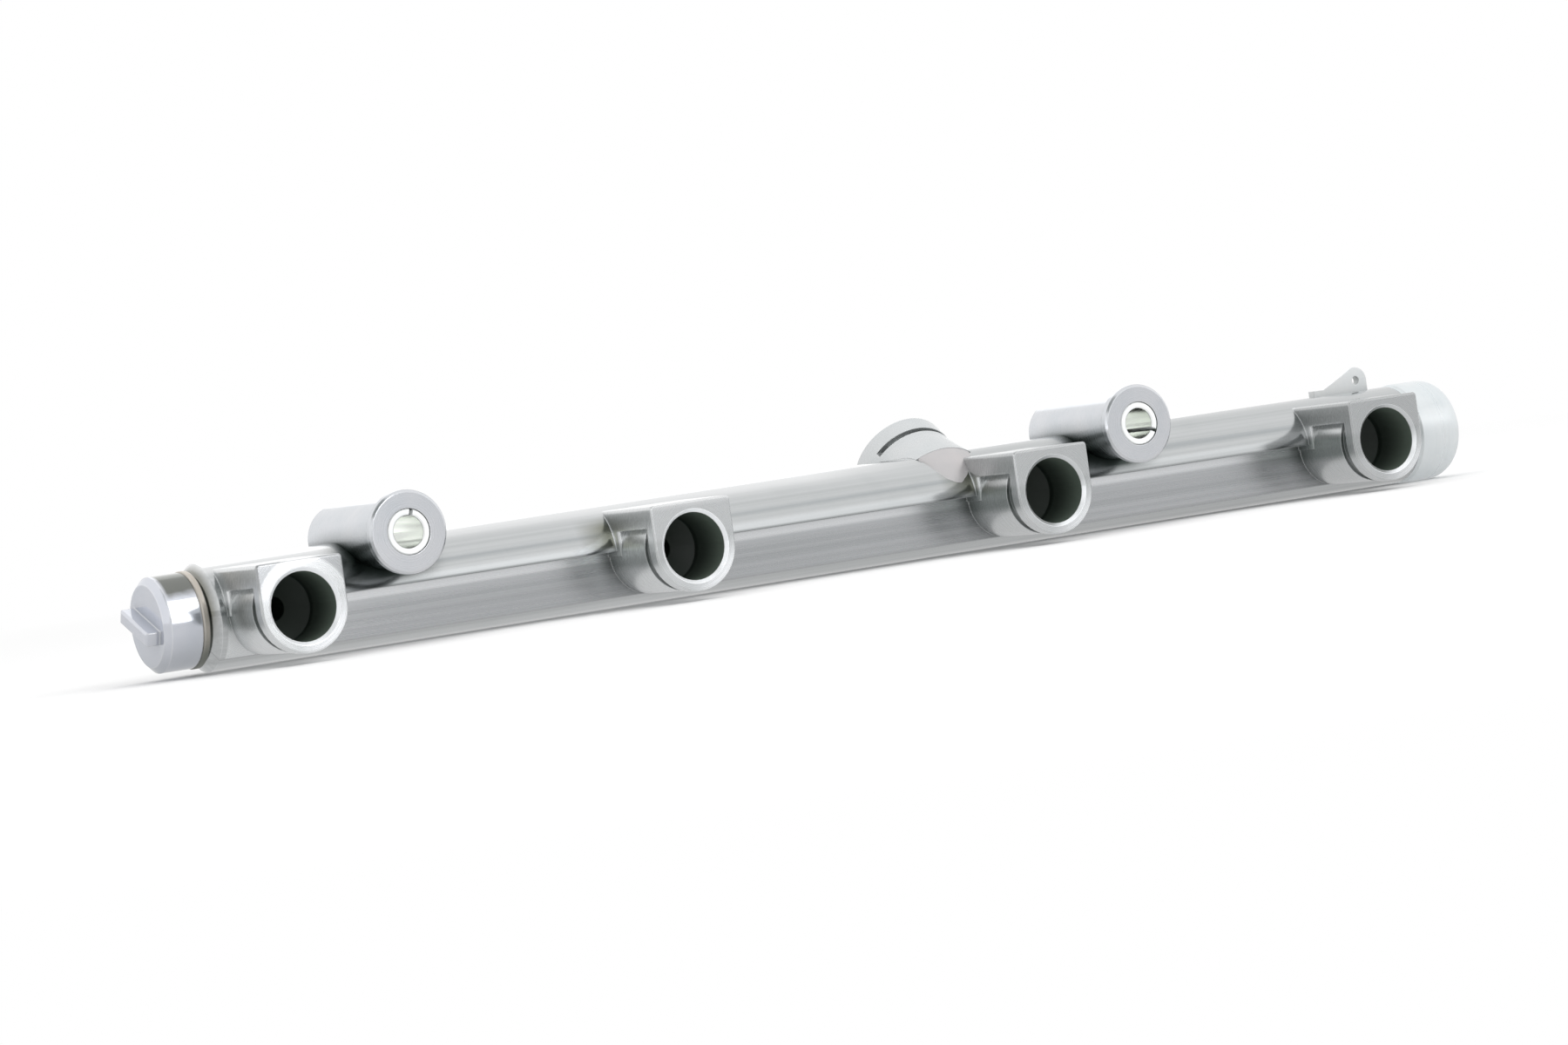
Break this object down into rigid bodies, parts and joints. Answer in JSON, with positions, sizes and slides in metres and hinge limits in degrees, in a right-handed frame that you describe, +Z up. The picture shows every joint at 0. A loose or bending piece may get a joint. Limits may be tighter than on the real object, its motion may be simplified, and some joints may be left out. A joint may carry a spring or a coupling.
{
  "type": "fuel rail",
  "caption": "Round aluminium fuel rail with a row of injector cups, brazed mounting bosses, a screw plug, a domed end cap and a rear feed inlet.",
  "frame": {"origin": "centre of the first injector cup's mouth, the cup beside the screw plug", "axes": "+X runs along the rail from the screw plug to the domed cap, -Y is the way the injector cups open, and +Z is up, the side that the mounting bosses sit on"},
  "size_m": [0.3237, 0.0494, 0.0312],
  "materials": {
    "extruded_aluminium": "satin, drawn and machined",
    "turned_aluminium": "fine turned, satin",
    "cap_aluminium": "smooth satin",
    "sleeve_steel": "bright rolled strip",
    "plated_steel": "bright plating",
    "washer_copper": "dull, slightly darkened",
    "seal_rubber": "matt"
  },
  "bodies": {
    "root": {"rail_body": "extruded_aluminium", "mounting_boss_1": "turned_aluminium", "mounting_boss_2": "turned_aluminium", "boss_sleeve_1": "sleeve_steel", "boss_sleeve_2": "sleeve_steel", "end_plug": "plated_steel", "plug_washer": "washer_copper", "end_cap": "cap_aluminium", "cap_seal": "seal_rubber", "inlet_fitting": "turned_aluminium", "clip_tab": "turned_aluminium"}
  },
  "joints": []
}
